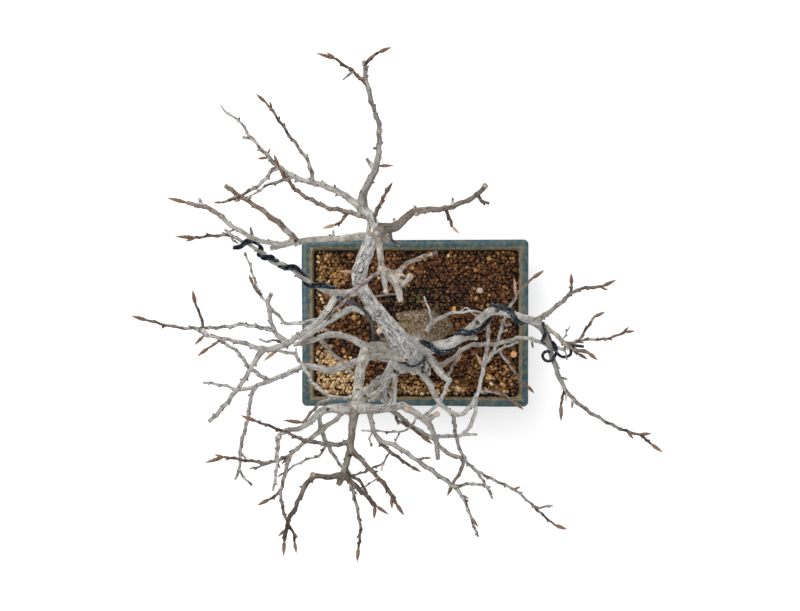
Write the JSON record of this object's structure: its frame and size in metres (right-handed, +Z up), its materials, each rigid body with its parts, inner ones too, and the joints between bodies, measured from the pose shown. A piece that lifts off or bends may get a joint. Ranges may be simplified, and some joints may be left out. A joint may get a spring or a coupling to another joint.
{
  "type": "leafless bonsai tree in a pot",
  "caption": "Leafless deciduous bonsai with a slanting trunk, tiers of budded branches and training wire, standing in a shallow glazed rectangular pot filled with soil grains.",
  "frame": {"origin": "middle of the whole object's box, on the surface that the pot stands on", "axes": "+Z up, +X to the right of the picture along the pot's long side, +Y towards the top of the picture, across the pot"},
  "size_m": [0.454, 0.4146, 0.5576],
  "materials": {
    "glaze": "mottled teal glaze, glossy, bare tan clay inside and below",
    "net": "black moulded net",
    "soil": "baked clay grains, red-brown and tan, damp near the roots",
    "bark": "smooth pale grey bark with dark flecks, copper-brown buds",
    "tie_metal": "dull grey wire",
    "wire": "annealed dark wire, satin",
    "pebble": "matt pale stone",
    "bead": "matt peach-coloured fertiliser bead",
    "husk": "dry yellow-brown husk"
  },
  "bodies": {
    "root": {"pot": "glaze", "drain_net_1": "net", "drain_net_2": "net", "soil": "soil", "tree": "bark", "tie_wire": "tie_metal", "training_wire_left": "wire", "training_wire_front": "wire", "training_wire_mid": "wire", "pale_pebble": "pebble", "fallen_bead": "bead", "seed_husk": "husk"}
  },
  "joints": []
}
